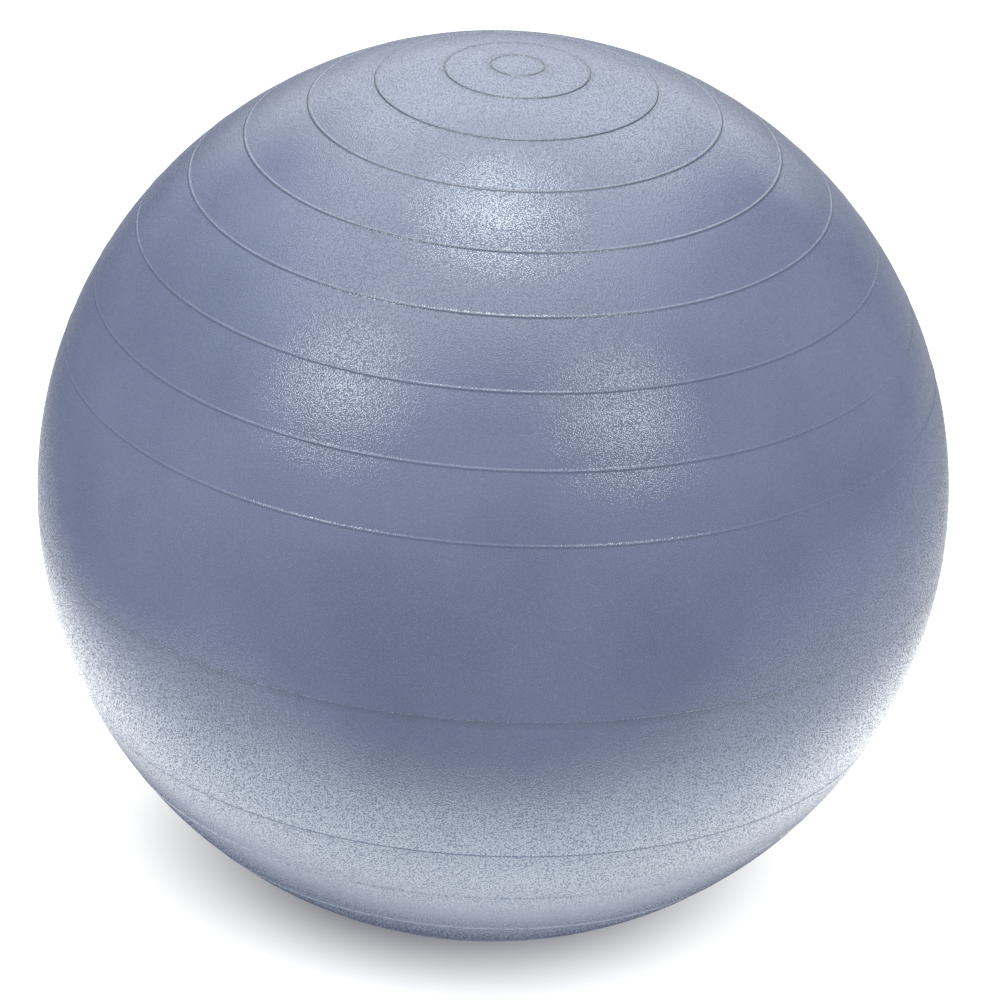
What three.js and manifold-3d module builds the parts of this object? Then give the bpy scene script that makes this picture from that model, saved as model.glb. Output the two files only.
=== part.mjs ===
// Exercise ball for physiotherapy: an inflated vinyl shell with moulded ribs, a valve insert
// in its wall, and the push-in plug that closes it.
// Millimetres, +Z up. The origin is on the floor, straight below the ball's centre.
// +Z is the axis that the ribs run round, and the valve faces +Y.

import * as THREE from "three";
import { mergeVertices } from "three/addons/utils/BufferGeometryUtils.js";
import Module from "manifold-3d";

// Driving dimensions

const BALL_RADIUS = 325; // outside of the shell between its ribs: the 65 cm size, fully inflated
const WALL = 1; // vinyl wall
const CONTACT_RADIUS = 42; // flat patch that the ball's weight presses against the floor
const AROUND = 40; // sides of the shell's turned form
const LATITUDE_STEP = 5; // longest step along the shell's outline, in degrees

const RIB_WIDTH = 3.4;
const RIB_HEIGHT = 0.6;
const UPPER_RIBS = [17.75, 26.8, 36.3, 45.8, 54.5, 63.5, 72.3, 81, 86.7]; // latitudes, in degrees
const LOWER_RIBS = [-80, -70, -59.5, -49, -37.5, -27.3];
const SEAM_LATITUDE = -4.7; // mould parting line, half way between the two middle ribs
const SEAM_WIDTH = 1.6;
const SEAM_HEIGHT = 0.2;

const PAD_RADIUS = 19; // flat round pad that thickens the shell round the valve
const PAD_FACE = BALL_RADIUS - 0.4; // distances along the valve axis, from the ball's centre
const PAD_BACK = BALL_RADIUS - 4;
const FIT_GAP = 0.3; // between neighbouring pieces

const INSERT_FACE = PAD_FACE;
const INSERT_RADIUS = 12;
const FLANGE_RADIUS = 17; // wider end of the insert, behind the pad
const FLANGE_THICKNESS = 2;
const FLANGE_FACE = PAD_BACK - FIT_GAP;
const NECK_RADIUS = 8.5;
const NECK_END = BALL_RADIUS - 24;
const BORE_RADIUS = 5;
const RECESS_RADIUS = 10.6; // seat of the plug's head
const RECESS_DEPTH = 2.3;

const HEAD_RADIUS = 10.2;
const HEAD_FACE = BALL_RADIUS - 0.35;
const HEAD_SHOULDER_RADIUS = 7.2; // where the flat dome of the head turns down to its edge
const HEAD_SHOULDER = BALL_RADIUS - 0.5;
const HEAD_EDGE = BALL_RADIUS - 0.9;
const HEAD_BACK = INSERT_FACE - RECESS_DEPTH + FIT_GAP;
const SHANK_RADIUS = 4.6;
const SHANK_TIP_RADIUS = 3.7;
const SHANK_END = BALL_RADIUS - 21;
const SHANK_TAPER = 0.5; // share of the shank's length, from its tip, that tapers
const SEAL_RINGS = [7, 11, 15]; // depths of the shank's sealing rings below the ball's surface
const SEAL_RADIUS = 4.72;
const SEAL_HALF_WIDTH = 0.7;
const HOLLOW_RADIUS = 2.4; // blind hollow that lets the shank give, open at its inner end
const HOLLOW_BOTTOM = BALL_RADIUS - 6;
const NAIL_NOTCH_RADIUS = 3; // half-round notch in the head's rim, where a nail lifts the plug
const NAIL_NOTCH_OFFSET = 11.2; // of the notch's axis from the plug's
const CUT_MARGIN = 1; // how far a cutting solid runs past what it cuts
const ROUND_SIDES = 32; // sides of the valve's turned pieces

const centreHeight = Math.sqrt(BALL_RADIUS ** 2 - CONTACT_RADIUS ** 2);

// Materials

const vinyl = new THREE.MeshStandardMaterial({ color: 0x697391, roughness: 0.5, metalness: 0 });
const neckVinyl = new THREE.MeshStandardMaterial({ color: 0x67718e, roughness: 0.45, metalness: 0 });
const plugPlastic = new THREE.MeshStandardMaterial({ color: 0xe6e8ec, roughness: 0.4, metalness: 0 });

// Solids

const wasm = await Module();
wasm.setup();

function solidFrom(geometry) {
  const bare = geometry.clone();
  bare.deleteAttribute("normal");
  bare.deleteAttribute("uv");
  const merged = mergeVertices(bare);
  return new wasm.Manifold(
    new wasm.Mesh({
      numProp: 3,
      vertProperties: new Float32Array(merged.attributes.position.array),
      triVerts: new Uint32Array(merged.index.array),
    }),
  );
}

function geometryFrom(solid) {
  const mesh = solid.getMesh();
  const geometry = new THREE.BufferGeometry();
  geometry.setAttribute("position", new THREE.BufferAttribute(mesh.vertProperties, 3));
  geometry.setIndex(new THREE.BufferAttribute(mesh.triVerts, 1));
  geometry.computeVertexNormals();
  return geometry;
}

function turnedAboutY(profile, sides) {
  const points = profile.map(([radius, along]) => new THREE.Vector2(radius, along));
  return new THREE.LatheGeometry(points, sides);
}

// A profile of [radius, height] points, from low to high, turned about Z.
function turnedUpright(profile) {
  return turnedAboutY(profile, AROUND).rotateX(Math.PI / 2);
}

// A profile of [radius, distance from the ball's centre] points, turned about the valve axis.
function turnedOnValveAxis(profile) {
  return turnedAboutY(profile, ROUND_SIDES).translate(0, 0, centreHeight);
}

// The shell

function pointAt(latitude, radius) {
  const angle = THREE.MathUtils.degToRad(latitude);
  return [radius * Math.cos(angle), centreHeight + radius * Math.sin(angle)];
}

function beadPoints(latitude, width, height) {
  const half = THREE.MathUtils.radToDeg(width / 2 / BALL_RADIUS);
  return [
    { latitude: latitude - half, height: 0 },
    { latitude, height },
    { latitude: latitude + half, height: 0 },
  ];
}

// Latitudes between two ends, evenly spaced and no further apart than LATITUDE_STEP.
function between(low, high) {
  const steps = Math.ceil((high - low) / LATITUDE_STEP);
  return Array.from({ length: steps - 1 }, (_, i) => low + ((i + 1) * (high - low)) / steps);
}

// The latitude where a sphere about the ball's centre meets the flat patch at a given height.
function patchEdge(radius, height) {
  return THREE.MathUtils.radToDeg(Math.asin((height - centreHeight) / radius));
}

function outerProfile() {
  const ribs = [...LOWER_RIBS, ...UPPER_RIBS].flatMap((rib) => beadPoints(rib, RIB_WIDTH, RIB_HEIGHT));
  const beads = [...ribs, ...beadPoints(SEAM_LATITUDE, SEAM_WIDTH, SEAM_HEIGHT)];
  beads.sort((a, b) => a.latitude - b.latitude);
  const profile = [[0, 0]];
  let last = patchEdge(BALL_RADIUS, 0);
  profile.push(pointAt(last, BALL_RADIUS));
  for (const { latitude, height } of beads) {
    profile.push(...between(last, latitude).map((mid) => pointAt(mid, BALL_RADIUS)));
    profile.push(pointAt(latitude, BALL_RADIUS + height));
    last = latitude;
  }
  profile.push([0, centreHeight + BALL_RADIUS]);
  return profile;
}

function innerProfile() {
  const radius = BALL_RADIUS - WALL;
  const stops = [patchEdge(radius, WALL), ...LOWER_RIBS, SEAM_LATITUDE, ...UPPER_RIBS];
  const profile = [[0, WALL]];
  stops.forEach((stop, i) => {
    profile.push(pointAt(stop, radius));
    const next = stops[i + 1] ?? stop;
    profile.push(...between(stop, next).map((mid) => pointAt(mid, radius)));
  });
  profile.push([0, centreHeight + radius]);
  return profile;
}

function valvePad() {
  return turnedOnValveAxis([
    [0, PAD_BACK],
    [PAD_RADIUS, PAD_BACK],
    [PAD_RADIUS, PAD_FACE],
    [0, PAD_FACE],
  ]);
}

function valveHole() {
  const radius = INSERT_RADIUS + FIT_GAP;
  return turnedOnValveAxis([
    [0, PAD_BACK - CUT_MARGIN],
    [radius, PAD_BACK - CUT_MARGIN],
    [radius, BALL_RADIUS + CUT_MARGIN],
    [0, BALL_RADIUS + CUT_MARGIN],
  ]);
}

function shell() {
  const outside = solidFrom(turnedUpright(outerProfile()));
  const inside = solidFrom(turnedUpright(innerProfile()));
  const padded = outside.subtract(inside).add(solidFrom(valvePad()));
  const geometry = geometryFrom(padded.subtract(solidFrom(valveHole())));
  const mesh = new THREE.Mesh(geometry, vinyl);
  mesh.name = "shell";
  return mesh;
}

// The valve insert: a bush through the pad, with a flange and a neck inside the ball

function valveInsert() {
  const flangeBack = FLANGE_FACE - FLANGE_THICKNESS;
  const seat = INSERT_FACE - RECESS_DEPTH;
  const section = [
    [BORE_RADIUS, NECK_END],
    [NECK_RADIUS, NECK_END],
    [NECK_RADIUS, flangeBack],
    [FLANGE_RADIUS, flangeBack],
    [FLANGE_RADIUS, FLANGE_FACE],
    [INSERT_RADIUS, FLANGE_FACE],
    [INSERT_RADIUS, INSERT_FACE],
    [RECESS_RADIUS, INSERT_FACE],
    [RECESS_RADIUS, seat],
    [BORE_RADIUS, seat],
    [BORE_RADIUS, NECK_END],
  ];
  const mesh = new THREE.Mesh(turnedOnValveAxis(section), neckVinyl);
  mesh.name = "valve_insert";
  return mesh;
}

// The air plug: a domed head flush with the ball, and a hollow tapered shank with sealing rings

function shankRadiusAt(distance) {
  const along = (distance - SHANK_END) / (HEAD_BACK - SHANK_END);
  return THREE.MathUtils.lerp(SHANK_TIP_RADIUS, SHANK_RADIUS, Math.min(1, along / SHANK_TAPER));
}

function sealRing(depth) {
  const middle = BALL_RADIUS - depth;
  const low = middle - SEAL_HALF_WIDTH;
  const high = middle + SEAL_HALF_WIDTH;
  return [
    [shankRadiusAt(low), low],
    [SEAL_RADIUS, middle],
    [shankRadiusAt(high), high],
  ];
}

function plugBody() {
  const deepestFirst = [...SEAL_RINGS].sort((a, b) => b - a);
  return turnedOnValveAxis([
    [0, HOLLOW_BOTTOM],
    [HOLLOW_RADIUS, HOLLOW_BOTTOM],
    [HOLLOW_RADIUS, SHANK_END],
    [SHANK_TIP_RADIUS, SHANK_END],
    ...deepestFirst.flatMap(sealRing),
    [SHANK_RADIUS, HEAD_BACK],
    [HEAD_RADIUS, HEAD_BACK],
    [HEAD_RADIUS, HEAD_EDGE],
    [HEAD_SHOULDER_RADIUS, HEAD_SHOULDER],
    [0, HEAD_FACE],
  ]);
}

function nailNotch() {
  const notch = turnedOnValveAxis([
    [0, HEAD_BACK - FIT_GAP],
    [NAIL_NOTCH_RADIUS, HEAD_BACK - FIT_GAP],
    [NAIL_NOTCH_RADIUS, BALL_RADIUS + CUT_MARGIN],
    [0, BALL_RADIUS + CUT_MARGIN],
  ]);
  return notch.translate(0, 0, NAIL_NOTCH_OFFSET);
}

function airPlug() {
  const geometry = geometryFrom(solidFrom(plugBody()).subtract(solidFrom(nailNotch())));
  const mesh = new THREE.Mesh(geometry, plugPlastic);
  mesh.name = "air_plug";
  return mesh;
}

const exerciseBall = new THREE.Group();
exerciseBall.add(shell(), valveInsert(), airPlug());

export default exerciseBall;
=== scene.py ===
"""Exercise ball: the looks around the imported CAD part. Metres, +Z up, as the CAD has it."""

import math

import bpy
from mathutils import Matrix, Vector


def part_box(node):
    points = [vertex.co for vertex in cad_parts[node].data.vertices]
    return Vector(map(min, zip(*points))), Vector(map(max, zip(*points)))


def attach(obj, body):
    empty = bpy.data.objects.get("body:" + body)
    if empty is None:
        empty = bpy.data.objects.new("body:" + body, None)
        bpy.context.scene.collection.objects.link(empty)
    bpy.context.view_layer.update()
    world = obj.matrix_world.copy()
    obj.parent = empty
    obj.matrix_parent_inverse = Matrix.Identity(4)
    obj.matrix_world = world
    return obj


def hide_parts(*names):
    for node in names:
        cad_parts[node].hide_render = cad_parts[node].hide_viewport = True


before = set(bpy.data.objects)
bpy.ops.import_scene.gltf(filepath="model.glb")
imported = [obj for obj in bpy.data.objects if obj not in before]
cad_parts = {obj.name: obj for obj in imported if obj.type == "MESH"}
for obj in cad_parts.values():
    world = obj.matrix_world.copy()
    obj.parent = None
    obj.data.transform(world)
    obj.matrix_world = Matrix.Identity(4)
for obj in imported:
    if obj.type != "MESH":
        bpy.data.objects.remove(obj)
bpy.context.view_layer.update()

MM = 0.001

# The ball, from the frame

shell_low, shell_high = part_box("shell")
insert_low, insert_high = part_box("valve_insert")
RADIUS = (shell_high.x - shell_low.x) / 2
CENTRE = Vector((0, 0, (insert_low.z + insert_high.z) / 2))
PATCH_RADIUS = math.sqrt(RADIUS**2 - CENTRE.z**2)
WALL = 1.0 * MM

# Ribs and the parting line: latitudes in degrees, then beads as (width, height)

UPPER_RIBS = (17.75, 26.8, 36.3, 45.8, 54.5, 63.5)
TOP_RIBS = (72.3, 81)  # narrower and sharper than those below them
LOWER_RIBS = (-80, -70, -59.5, -49, -37.5, -27.3)
POLE_RING = 86.7
SEAM = -4.7
UPPER_BEAD = (3.4 * MM, 0.53 * MM)
LOWER_BEAD = (2.4 * MM, 0.45 * MM)
TOP_BEAD = (2.6 * MM, 0.68 * MM)
POLE_BEAD = (2.0 * MM, 0.48 * MM)
SEAM_BEAD = (1.4 * MM, 0.12 * MM)
BEADS = (
    [(latitude, *UPPER_BEAD) for latitude in UPPER_RIBS]
    + [(latitude, *LOWER_BEAD) for latitude in LOWER_RIBS]
    + [(latitude, *TOP_BEAD) for latitude in TOP_RIBS]
    + [(POLE_RING, *POLE_BEAD), (SEAM, *SEAM_BEAD)]
)
PINCH_DEPTH = 0.45 * MM  # the ribs stretch less than the wall, so each lies in a slight valley
PINCH_REACH = 24 * MM

# Painted shade along each rib and the parting line, a darker colour where shade falls below the
# crest: how far below the crest its middle lies, how far it reaches, and the share of the colour
# that it takes. The first value is for the ball's sides and below, the second for its top.

PAINTED_SHADE_DROPS = (0.7 * MM, 0.15 * MM)
PAINTED_SHADE_REACHES = (1.2 * MM, 1.7 * MM)
PAINTED_SHADE_SHARES = (0.2, 0.7)
PAINTED_SHADE_TOP_POWER = 4  # how closely the second value keeps to the top

# Fineness of the meshes

SHELL_SIDES = 240
CHAMBER_SIDES = 120
VALVE_SIDES = 96
NOTCH_SIDES = 48
CHAMBER_STEPS = 60
LATITUDE_STEP = 1.2  # degrees, between beads
BEAD_STEPS = 5  # from the middle of a bead to its edge
SHARP_ANGLE = 40  # degrees
STEP_SLACK = 1e-6  # so that a rounding error doesn't add a step

# The valve. Radii are from its axis, and the other places are along it from the ball's centre.

CUT_TOP = RADIUS + 2 * MM

PAD_RADIUS = 19 * MM
PAD_FACE = RADIUS - 0.35 * MM
PAD_BACK = RADIUS - 4 * MM
HOLE_RADIUS = 12.3 * MM
HOLE_BOTTOM = RADIUS - 8 * MM
HOLE_CHAMFER = 0.4 * MM
CHAMFER_MARGIN = 0.01 * MM

INSERT_RADIUS = 12 * MM
INSERT_FACE = RADIUS - 0.4 * MM
FLANGE_RADIUS = 17 * MM
FLANGE_FACE = RADIUS - 4.3 * MM
FLANGE_BACK = FLANGE_FACE - 2 * MM
NECK_RADIUS = 8.5 * MM
NECK_END = RADIUS - 24 * MM
BORE_RADIUS = 5 * MM
RECESS_RADIUS = 10.6 * MM
RECESS_SEAT = INSERT_FACE - 2.3 * MM

HEAD_RADIUS = 10.2 * MM
HEAD_FACE = RADIUS - 0.35 * MM
HEAD_SHOULDER_RADIUS = 7.2 * MM  # where the flat dome of the head turns down to its edge
HEAD_SHOULDER = HEAD_FACE - 0.16 * MM
HEAD_EDGE = HEAD_FACE - 0.55 * MM
HEAD_BACK = RADIUS - 2.4 * MM
DIMPLE_RADIUS = 2.2 * MM
DIMPLE_DEPTH = 0.2 * MM
SHANK_RADIUS = 4.6 * MM
SHANK_TIP_RADIUS = 3.7 * MM
SHANK_END = RADIUS - 21 * MM
SHANK_TAPER = 0.5  # share of the shank's length, from its tip, that tapers
SEAL_DEPTHS = (15 * MM, 11 * MM, 7 * MM)
SEAL_RADIUS = 4.72 * MM
HOLLOW_RADIUS = 2.4 * MM
HOLLOW_BOTTOM = RADIUS - 6.6 * MM
NOTCH_RADIUS = 3 * MM
NOTCH_MOUTH_RADIUS = 3.5 * MM
NOTCH_OFFSET = 11.2 * MM  # of the notch's axis from the plug's
NOTCH_MARGIN = 0.2 * MM


# Meshes


def turned(name, outline, sides, loop=False):
    """A closed mesh from an outline of (radius, height) points, low to high, turned about +Z."""
    verts = []
    rings = []
    for radius, height in outline:
        if radius == 0:
            rings.append([len(verts)] * sides)
            verts.append((0, 0, height))
            continue
        rings.append(list(range(len(verts), len(verts) + sides)))
        for i in range(sides):
            angle = 2 * math.pi * i / sides
            verts.append((radius * math.cos(angle), radius * math.sin(angle), height))
    faces = []
    pairs = zip(rings, rings[1:] + rings[:1]) if loop else zip(rings, rings[1:])
    for low, high in pairs:
        for i in range(sides):
            j = (i + 1) % sides
            corners = [low[i], low[j], high[j], high[i]]
            faces.append(list(dict.fromkeys(corners)))
    mesh = bpy.data.meshes.new(name)
    mesh.from_pydata(verts, [], faces)
    mesh.update()
    thing = bpy.data.objects.new(name, mesh)
    bpy.context.scene.collection.objects.link(thing)
    return thing


def eased(radius, height, *steps):
    """Points that ease a corner of an outline, each a step of (outward, upward) mm from it."""
    return [(radius + outward * MM, height + upward * MM) for outward, upward in steps]


def along_valve_axis(thing):
    """Turns a mesh made about +Z from the ball's centre onto the valve axis, +Y."""
    thing.data.transform(Matrix.Translation(CENTRE) @ Matrix.Rotation(-math.pi / 2, 4, "X"))
    return thing


def combine(thing, other, operation):
    """Joins or cuts thing with other, which is used up."""
    modifier = thing.modifiers.new("combine", "BOOLEAN")
    modifier.operation = operation
    modifier.object = other
    modifier.solver = "MANIFOLD"
    depsgraph = bpy.context.evaluated_depsgraph_get()
    result = bpy.data.meshes.new_from_object(thing.evaluated_get(depsgraph))
    thing.modifiers.remove(modifier)
    thing.data = result
    bpy.data.objects.remove(other)


def shade(thing):
    thing.data.polygons.foreach_set("use_smooth", [True] * len(thing.data.polygons))
    thing.data.set_sharp_from_angle(angle=math.radians(SHARP_ANGLE))
    thing.data.update()


# The shell


def outer_radius(latitude):
    radius = RADIUS
    for bead_latitude, width, height in BEADS:
        offset = abs(math.radians(latitude - bead_latitude)) * RADIUS
        if bead_latitude not in (POLE_RING, SEAM) and offset < PINCH_REACH:
            radius -= PINCH_DEPTH * (1 - offset / PINCH_REACH) ** 2
        if offset < width / 2:
            radius += height * (1 + math.cos(2 * math.pi * offset / width)) / 2
    return radius


def outer_latitudes():
    """Latitudes of the outline's points, in degrees: close across each bead, and just beside it."""
    patch_edge = math.degrees(math.asin(-CENTRE.z / RADIUS))
    stops = {patch_edge, 90.0}
    for latitude, width, _ in BEADS:
        half = math.degrees(width / 2 / RADIUS)
        for step in range(-BEAD_STEPS - 1, BEAD_STEPS + 2):
            stops.add(latitude + step / BEAD_STEPS * half)
    stops = sorted(stops)
    filled = []
    for a, b in zip(stops, stops[1:]):
        steps = max(1, math.ceil((b - a) / LATITUDE_STEP - STEP_SLACK))
        filled += [a + (b - a) * i / steps for i in range(steps)]
    return filled


def shell_outline():
    outline = [(0, 0), (PATCH_RADIUS / 2, 0)]
    for latitude in outer_latitudes():
        angle = math.radians(latitude)
        radius = outer_radius(latitude)
        outline.append((radius * math.cos(angle), max(0, CENTRE.z + radius * math.sin(angle))))
    outline.append((0, CENTRE.z + outer_radius(90)))
    return outline


def chamber_outline():
    radius = RADIUS - PINCH_DEPTH - WALL
    low = math.asin((WALL - CENTRE.z) / radius)
    outline = [(0, WALL)]
    for i in range(CHAMBER_STEPS):
        angle = low + (math.pi / 2 - low) * i / CHAMBER_STEPS
        outline.append((radius * math.cos(angle), CENTRE.z + radius * math.sin(angle)))
    outline.append((0, CENTRE.z + radius))
    return outline


def pad_outline():
    return [
        (0, PAD_BACK),
        (PAD_RADIUS, PAD_BACK),
        *eased(PAD_RADIUS, PAD_FACE, (0.9, -1.2), (0.5, -0.35), (0, -0.08), (-0.6, 0)),
        (0, PAD_FACE),
    ]


def hole_outline():
    return [
        (0, HOLE_BOTTOM),
        (HOLE_RADIUS, HOLE_BOTTOM),
        (HOLE_RADIUS, PAD_FACE - HOLE_CHAMFER),
        (HOLE_RADIUS + HOLE_CHAMFER, PAD_FACE + CHAMFER_MARGIN),
        (HOLE_RADIUS + HOLE_CHAMFER, CUT_TOP),
        (0, CUT_TOP),
    ]


def painted_shade_at(latitude):
    """The share of the colour that painted shade takes: most where the ball faces up."""
    facing_up = max(0, math.sin(math.radians(latitude))) ** PAINTED_SHADE_TOP_POWER
    drop, reach, share_at_most = (
        side + (top - side) * facing_up for side, top in (PAINTED_SHADE_DROPS, PAINTED_SHADE_REACHES, PAINTED_SHADE_SHARES)
    )
    share = 0
    for bead_latitude, _, _ in BEADS:
        offset = math.radians(bead_latitude - latitude) * RADIUS - drop
        share = max(share, 1 - abs(offset) / reach)
    return share_at_most * share


# Painted shade: stores on each vertex the share by which its colour darkens below each rib's crest.
def mark_painted_shade(shell):
    marks = shell.data.attributes.new("painted_rib_shade", "FLOAT", "POINT")
    shares = []
    for vertex in shell.data.vertices:
        rise = (vertex.co - CENTRE).normalized().z
        shares.append(painted_shade_at(math.degrees(math.asin(rise))))
    marks.data.foreach_set("value", shares)


def make_shell():
    shell = turned("ball_shell", shell_outline(), SHELL_SIDES)
    combine(shell, turned("chamber", chamber_outline(), CHAMBER_SIDES), "DIFFERENCE")
    combine(shell, along_valve_axis(turned("pad", pad_outline(), VALVE_SIDES)), "UNION")
    combine(shell, along_valve_axis(turned("hole", hole_outline(), VALVE_SIDES)), "DIFFERENCE")
    mark_painted_shade(shell)
    shade(shell)
    return shell


# The valve insert


def make_insert():
    outline = [
        *eased(BORE_RADIUS, NECK_END, (0, 0.3), (0.3, 0)),
        *eased(NECK_RADIUS, NECK_END, (-0.4, 0), (0, 0.4)),
        *eased(NECK_RADIUS, FLANGE_BACK, (0, -1), (0.7, -0.2)),
        *eased(FLANGE_RADIUS, FLANGE_BACK, (-0.4, 0), (0, 0.4)),
        *eased(FLANGE_RADIUS, FLANGE_FACE, (0, -0.3), (-0.3, 0)),
        (INSERT_RADIUS, FLANGE_FACE),
        *eased(INSERT_RADIUS, INSERT_FACE, (0, -0.4), (-0.3, -0.08), (-0.6, 0)),
        *eased(RECESS_RADIUS, INSERT_FACE, (0.3, 0), (0.05, -0.1), (0, -0.35)),
        (RECESS_RADIUS, RECESS_SEAT),
        *eased(BORE_RADIUS, RECESS_SEAT, (0.5, 0), (0, -0.5)),
    ]
    insert = along_valve_axis(turned("valve_bush", outline, VALVE_SIDES, loop=True))
    shade(insert)
    return insert


# The air plug


def seal_ring(depth):
    middle = RADIUS - depth
    along = (middle - SHANK_END) / (HEAD_BACK - SHANK_END)
    widening = (SHANK_RADIUS - SHANK_TIP_RADIUS) * min(1, along / SHANK_TAPER)
    shank = SHANK_TIP_RADIUS + widening
    return [
        *eased(shank, middle, (-0.05, -0.9)),
        *eased(SEAL_RADIUS, middle, (-0.06, -0.25), (0, 0), (-0.06, 0.25)),
        *eased(shank, middle, (0, 0.9)),
    ]


def plug_outline():
    outline = [
        (0, HOLLOW_BOTTOM),
        *eased(HOLLOW_RADIUS, HOLLOW_BOTTOM, (-0.6, -0.2), (0, -1)),
        *eased(HOLLOW_RADIUS, SHANK_END, (0, 0.3), (0.2, 0)),
        *eased(SHANK_TIP_RADIUS, SHANK_END, (-0.3, 0), (0, 0.3)),
    ]
    for depth in SEAL_DEPTHS:
        outline += seal_ring(depth)
    outline += [
        *eased(SHANK_RADIUS, HEAD_BACK, (0, -0.5), (0.4, 0)),
        *eased(HEAD_RADIUS, HEAD_BACK, (-0.3, 0), (0, 0.3)),
        *eased(HEAD_RADIUS, HEAD_EDGE, (0, -0.15), (-0.15, 0.12), (-0.6, 0.3)),
        (HEAD_SHOULDER_RADIUS, HEAD_SHOULDER),
        *eased(DIMPLE_RADIUS, HEAD_FACE, (2.3, -0.05), (0, 0)),
        *eased(DIMPLE_RADIUS, HEAD_FACE - DIMPLE_DEPTH, (-0.2, 0.08), (-0.7, 0)),
        (0, HEAD_FACE - DIMPLE_DEPTH),
    ]
    return outline


def notch_outline():
    return [
        (0, HEAD_BACK - NOTCH_MARGIN),
        (NOTCH_RADIUS, HEAD_BACK - NOTCH_MARGIN),
        (NOTCH_RADIUS, HEAD_EDGE - NOTCH_MARGIN),
        (NOTCH_MOUTH_RADIUS, HEAD_FACE + NOTCH_MARGIN),
        (NOTCH_MOUTH_RADIUS, CUT_TOP),
        (0, CUT_TOP),
    ]


def make_plug():
    plug = along_valve_axis(turned("plug_body", plug_outline(), VALVE_SIDES))
    notch = along_valve_axis(turned("notch", notch_outline(), NOTCH_SIDES))
    notch.data.transform(Matrix.Translation((0, 0, NOTCH_OFFSET)))
    combine(plug, notch, "DIFFERENCE")
    shade(plug)
    return plug


# Materials

SPECULAR_TINT = (0.9, 1.0, 0.91)
# Distances from the middle of a grain cell, in cell sizes, between which its gloss and colour change
GLOSS_EDGES = (0.48, 0.62)
SPECKLE_EDGES = (0.1, 0.6)
SPECKLE_SHARE = 0.75  # of the step from the dark colour to the light one
CLOUD_SCALE = 9  # slow changes of colour, per metre
CLOUD_DETAIL = 3
CLOUD_EDGES = (0.3, 0.7)
CLOUD_SHARE = 0.25


def new_material(name):
    material = bpy.data.materials.new(name)
    material.use_nodes = True
    return material, material.node_tree.nodes, material.node_tree.links


def ramp(nodes, links, source, low, high, low_value, high_value):
    node = nodes.new("ShaderNodeMapRange")
    node.inputs["From Min"].default_value = low
    node.inputs["From Max"].default_value = high
    node.inputs["To Min"].default_value = low_value
    node.inputs["To Max"].default_value = high_value
    links.new(source, node.inputs["Value"])
    return node.outputs["Result"]


def clouds(nodes, links, coordinates):
    node = nodes.new("ShaderNodeTexNoise")
    node.inputs["Scale"].default_value = CLOUD_SCALE
    node.inputs["Detail"].default_value = CLOUD_DETAIL
    links.new(coordinates.outputs["Object"], node.inputs["Vector"])
    return node.outputs["Fac"]


def cells(nodes, links, coordinates, size):
    """Distance from the middles of cells, in cell sizes."""
    node = nodes.new("ShaderNodeTexVoronoi")
    node.feature = "F1"
    node.inputs["Scale"].default_value = 1 / size
    links.new(coordinates.outputs["Object"], node.inputs["Vector"])
    return node.outputs["Distance"]


def vinyl(name, dark, light, grain_size, grain_height, smooth, rough, ior):
    """Moulded vinyl: a fine pebble grain varies its height, its gloss and, a little, its colour."""
    material, nodes, links = new_material(name)
    shader = nodes["Principled BSDF"]
    shader.inputs["IOR"].default_value = ior
    shader.inputs["Specular Tint"].default_value = (*SPECULAR_TINT, 1)
    coordinates = nodes.new("ShaderNodeTexCoord")
    cloud = clouds(nodes, links, coordinates)
    depth = cells(nodes, links, coordinates, grain_size)

    lightness = nodes.new("ShaderNodeMath")
    lightness.operation = "ADD"
    links.new(ramp(nodes, links, depth, *SPECKLE_EDGES, SPECKLE_SHARE, 0), lightness.inputs[0])
    links.new(ramp(nodes, links, cloud, *CLOUD_EDGES, 0, CLOUD_SHARE), lightness.inputs[1])
    tint = nodes.new("ShaderNodeMix")
    tint.data_type = "RGBA"
    tint.inputs["A"].default_value = (*dark, 1)
    tint.inputs["B"].default_value = (*light, 1)
    links.new(lightness.outputs["Value"], tint.inputs["Factor"])

    # Painted shade: the colour is darkened along the ribs by the share stored on the shell's
    # vertices.
    painted_rib_shade = nodes.new("ShaderNodeAttribute")
    painted_rib_shade.attribute_name = "painted_rib_shade"
    colour_with_painted_shade = nodes.new("ShaderNodeVectorMath")
    colour_with_painted_shade.operation = "SCALE"
    links.new(tint.outputs["Result"], colour_with_painted_shade.inputs[0])
    links.new(ramp(nodes, links, painted_rib_shade.outputs["Fac"], 0, 1, 1, 0), colour_with_painted_shade.inputs["Scale"])
    links.new(colour_with_painted_shade.outputs["Vector"], shader.inputs["Base Color"])

    gloss = ramp(nodes, links, depth, *GLOSS_EDGES, smooth, rough)
    links.new(gloss, shader.inputs["Roughness"])

    bump = nodes.new("ShaderNodeBump")
    bump.invert = True
    bump.inputs["Strength"].default_value = 1.0
    bump.inputs["Distance"].default_value = grain_height
    links.new(depth, bump.inputs["Height"])
    links.new(bump.outputs["Normal"], shader.inputs["Normal"])
    return material


def dress(thing, material, body, node):
    thing.data.materials.clear()
    thing.data.materials.append(material)
    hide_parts(node)
    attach(thing, body)


# Camera

CAMERA_ELEVATION = 25.0
CAMERA_ROLL = 3.35
CAMERA_DISTANCE = 6.5
CAMERA_LENS = 327.8
CAMERA_SENSOR = 36
CAMERA_SEES_TO = 100
AIM_RIGHT = 4.85 * MM  # of the ball's middle
AIM_DOWN = 10.2 * MM


def camera_axes():
    """The camera's right, up and back directions."""
    elevation = math.radians(CAMERA_ELEVATION)
    roll = math.radians(CAMERA_ROLL)
    level = Vector((1, 0, 0))
    back = Vector((0, -math.cos(elevation), math.sin(elevation)))
    upright = back.cross(level)
    right = level * math.cos(roll) + upright * math.sin(roll)
    up = upright * math.cos(roll) - level * math.sin(roll)
    return right, up, back


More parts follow.
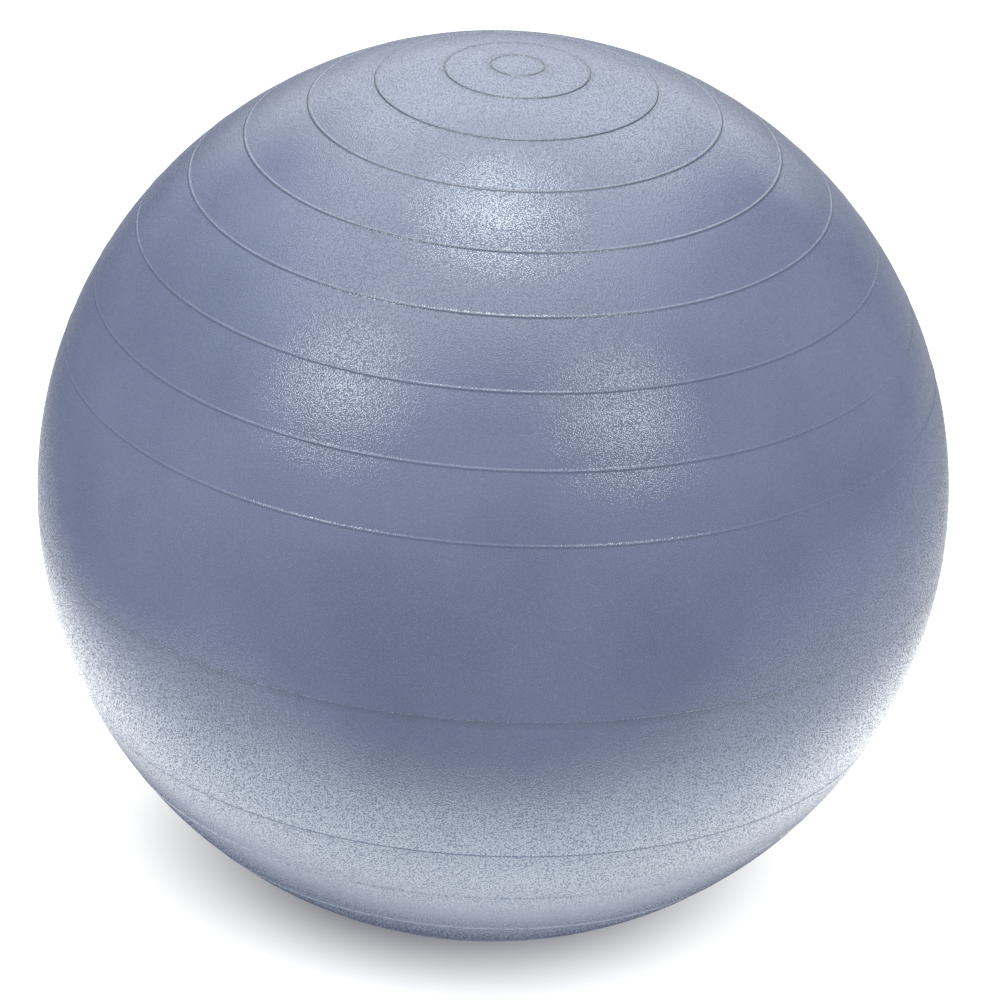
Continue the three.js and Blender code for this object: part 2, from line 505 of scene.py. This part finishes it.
def make_camera():
    right, up, back = camera_axes()
    data = bpy.data.cameras.new("camera")
    data.sensor_width = CAMERA_SENSOR
    data.lens = CAMERA_LENS
    data.clip_end = CAMERA_SEES_TO
    camera = bpy.data.objects.new("camera", data)
    bpy.context.scene.collection.objects.link(camera)
    place = CENTRE + back * CAMERA_DISTANCE + right * AIM_RIGHT - up * AIM_DOWN
    turn = Matrix((right, up, back)).transposed().to_4x4()
    camera.matrix_world = Matrix.Translation(place) @ turn
    bpy.context.scene.camera = camera


# Floor and paper

PAPER_ROUGHNESS = 0.9
FLOOR_REACH = 30
FLOOR_WHITE = 0.5
# The floor's glow fades to almost nothing near a point just behind the ball: a painted shadow, added
# to the real shadow that the lamps cast on its grey.
FLOOR_GLOW = 0.85
FLOOR_SHADOW_MIDDLE = (-0.018, 0.085, 0)
FLOOR_PAINTED_SHADOW_STOPS = ((0.12, 0.02), (0.3, 1))
# The sweep has no colour of its own and is seen only in reflections. Its glow is painted light that
# stands in for lit paper, and it is nil near the ball, which makes a painted shadow.
SWEEP_X = (-0.68, 1.6)
SWEEP_Y = (-0.465, 4)
SWEEP_HEIGHT = -0.5 * MM
SWEEP_GLOW = 2.75
SWEEP_SHADOW_MIDDLE = (-0.012, 0.12, 0)
SWEEP_PAINTED_LIGHT_STOPS = ((0.25, 0), (0.385, 1), (0.47, 0.95), (0.62, 0.45), (0.8, 0.38), (1, 0.18))


def plane(name, low_x, high_x, low_y, high_y, height):
    mesh = bpy.data.meshes.new(name)
    verts = [
        (low_x, low_y, height),
        (high_x, low_y, height),
        (high_x, high_y, height),
        (low_x, high_y, height),
    ]
    mesh.from_pydata(verts, [], [(0, 1, 2, 3)])
    thing = bpy.data.objects.new(name, mesh)
    bpy.context.scene.collection.objects.link(thing)
    return thing


def paper(name, white, middle, glow, stops):
    """Paper whose glow, painted light, changes with the distance from a point; its dark middle is
    painted shadow.

    Each stop is a distance in metres and the share of the glow there.
    """
    material, nodes, links = new_material(name)
    shader = nodes["Principled BSDF"]
    shader.inputs["Base Color"].default_value = (white, white, white, 1)
    shader.inputs["Roughness"].default_value = PAPER_ROUGHNESS
    shader.inputs["Specular IOR Level"].default_value = 0.0
    shader.inputs["Emission Strength"].default_value = glow
    place = nodes.new("ShaderNodeNewGeometry")
    distance = nodes.new("ShaderNodeVectorMath")
    distance.operation = "DISTANCE"
    distance.inputs[1].default_value = middle
    links.new(place.outputs["Position"], distance.inputs[0])
    shares = nodes.new("ShaderNodeValToRGB")
    shares.color_ramp.interpolation = "EASE"
    for stop, _ in stops[2:]:
        shares.color_ramp.elements.new(stop)
    for element, (stop, share) in zip(shares.color_ramp.elements, stops):
        element.position = stop
        element.color = (share, share, share, 1)
    links.new(distance.outputs["Value"], shares.inputs["Fac"])
    links.new(shares.outputs["Color"], shader.inputs["Emission Color"])
    return material


def make_floor():
    """The floor that the camera sees and the glowing sheet that the ball mirrors, each with a painted
    shadow in its glow near the ball.
    """
    floor = plane("floor", -FLOOR_REACH, FLOOR_REACH, -FLOOR_REACH, FLOOR_REACH, 0)
    floor_glow_with_painted_shadow = paper("floor_glow_with_painted_shadow", FLOOR_WHITE, FLOOR_SHADOW_MIDDLE, FLOOR_GLOW, FLOOR_PAINTED_SHADOW_STOPS)
    floor.data.materials.append(floor_glow_with_painted_shadow)
    floor.visible_diffuse = False
    floor.visible_glossy = False
    floor.visible_shadow = False
    sweep = plane("glowing_sweep", *SWEEP_X, *SWEEP_Y, SWEEP_HEIGHT)
    sweep_glow_with_painted_shadow = paper("sweep_glow_with_painted_shadow", 0, SWEEP_SHADOW_MIDDLE, SWEEP_GLOW, SWEEP_PAINTED_LIGHT_STOPS)
    sweep.data.materials.append(sweep_glow_with_painted_shadow)
    sweep.visible_camera = False
    sweep.visible_diffuse = False
    sweep.visible_shadow = False


# Lights

# Softboxes: name, across, upward, distance, width, height, radiance, matt
KEYS = (
    ("key_top", 0.015, 0.592, 1.6, 0.6, 0.62, 5.8, False),
    ("key_left", -0.325, 0.2055, 1.8, 0.62, 0.62, 5.0, True),
    ("key_right", 0.289, 0.144, 1.8, 0.62, 0.62, 4.6, True),
)
# Large pale panels, which show only as soft reflections: name, place, target, width, height, radiance
PANELS = (
    ("ceiling", (0.35, -0.3, 2.3), (0.35, -0.3, 0), 1.7, 2.4, 1.2),
    ("ceiling_left", (-1.15, -0.3, 2.3), (-1.15, -0.3, 0), 1.3, 2.4, 1.45),
    ("ceiling_side", (-2.15, 0.5, 2.3), (-2.15, 0.5, 0), 0.7, 4, 0.7),
    ("back_ceiling", (0, 1.95, 2.3), (0, 1.95, 0), 2.8, 2.1, 2.2),
    ("backdrop", (0, 3, 1.5), (0, 0, 1.5), 3.6, 1.6, 1.5),
)
# Panels that light only the matt part of each surface
WASHES = (
    ("wash_left", (-2.8, 0.4, 1.9), (0, 0, 0.3), 2, 2, 2.4),
    ("wash_right", (2.6, 1, 2), (0, 0, 0.3), 2, 2, 2.1),
)
FILL_LIGHT = 0.88  # from all round, on the matt part of each surface
ROOM_LIGHT = 0.1  # mirrored where no panel is


def softbox(name, place, target, width, height, radiance):
    """An area light at a place, facing a target."""
    data = bpy.data.lights.new(name, "AREA")
    data.shape = "RECTANGLE"
    data.size = width
    data.size_y = height
    data.energy = radiance * math.pi * width * height
    light = bpy.data.objects.new(name, data)
    bpy.context.scene.collection.objects.link(light)
    light.location = place
    light.rotation_euler = (Vector(place) - Vector(target)).to_track_quat("Z", "Y").to_euler()
    light.visible_camera = False
    return light


def key_light(name, across, upward, distance, width, height, radiance, matt):
    """A softbox whose highlight shows across and upward of the ball's middle, in ball radii.

    It lights the matt part of each surface too, or only shows as a highlight.
    """
    right, up, back = camera_axes()
    normal = right * across + up * upward + back * math.sqrt(1 - across**2 - upward**2)
    mirrored = 2 * normal.dot(back) * normal - back
    target = CENTRE + normal * RADIUS
    light = softbox(name, target + mirrored * distance, target, width, height, radiance)
    light.visible_diffuse = matt


def make_world():
    """White to the camera, FILL_LIGHT on matt surfaces and ROOM_LIGHT in reflections."""
    world = bpy.data.worlds.new("studio")
    bpy.context.scene.world = world
    world.use_nodes = True
    nodes, links = world.node_tree.nodes, world.node_tree.links
    nodes.clear()
    seen = nodes.new("ShaderNodeBackground")
    seen.inputs["Color"].default_value = (1, 1, 1, 1)
    light = nodes.new("ShaderNodeBackground")
    light.inputs["Color"].default_value = (1, 1, 1, 1)
    path = nodes.new("ShaderNodeLightPath")
    strength = ramp(nodes, links, path.outputs["Is Diffuse Ray"], 0, 1, ROOM_LIGHT, FILL_LIGHT)
    links.new(strength, light.inputs["Strength"])
    mix = nodes.new("ShaderNodeMixShader")
    output = nodes.new("ShaderNodeOutputWorld")
    links.new(path.outputs["Is Camera Ray"], mix.inputs["Fac"])
    links.new(light.outputs["Background"], mix.inputs[1])
    links.new(seen.outputs["Background"], mix.inputs[2])
    links.new(mix.outputs["Shader"], output.inputs["Surface"])


def make_lights():
    for settings in KEYS:
        key_light(*settings)
    for settings in PANELS:
        softbox(*settings).visible_diffuse = False
    for settings in WASHES:
        softbox(*settings).visible_glossy = False


make_camera()

shell_vinyl = vinyl(
    "shell_vinyl",
    dark=(0.105, 0.131, 0.235),
    light=(0.225, 0.266, 0.411),
    grain_size=1.25 * MM,
    grain_height=0.15 * MM,
    smooth=0.13,
    rough=0.66,
    ior=2.0,
)
insert_vinyl = vinyl(
    "insert_vinyl",
    dark=(0.12, 0.147, 0.24),
    light=(0.15, 0.183, 0.3),
    grain_size=0.8 * MM,
    grain_height=0.01 * MM,
    smooth=0.35,
    rough=0.45,
    ior=1.5,
)
plug_plastic = vinyl(
    "plug_plastic",
    dark=(0.74, 0.75, 0.78),
    light=(0.84, 0.85, 0.87),
    grain_size=0.6 * MM,
    grain_height=0.008 * MM,
    smooth=0.3,
    rough=0.4,
    ior=1.5,
)

dress(make_shell(), shell_vinyl, "ball", "shell")
dress(make_insert(), insert_vinyl, "ball", "valve_insert")
dress(make_plug(), plug_plastic, "plug", "air_plug")

make_floor()
make_lights()
make_world()
bpy.context.scene.view_settings.view_transform = "Standard"
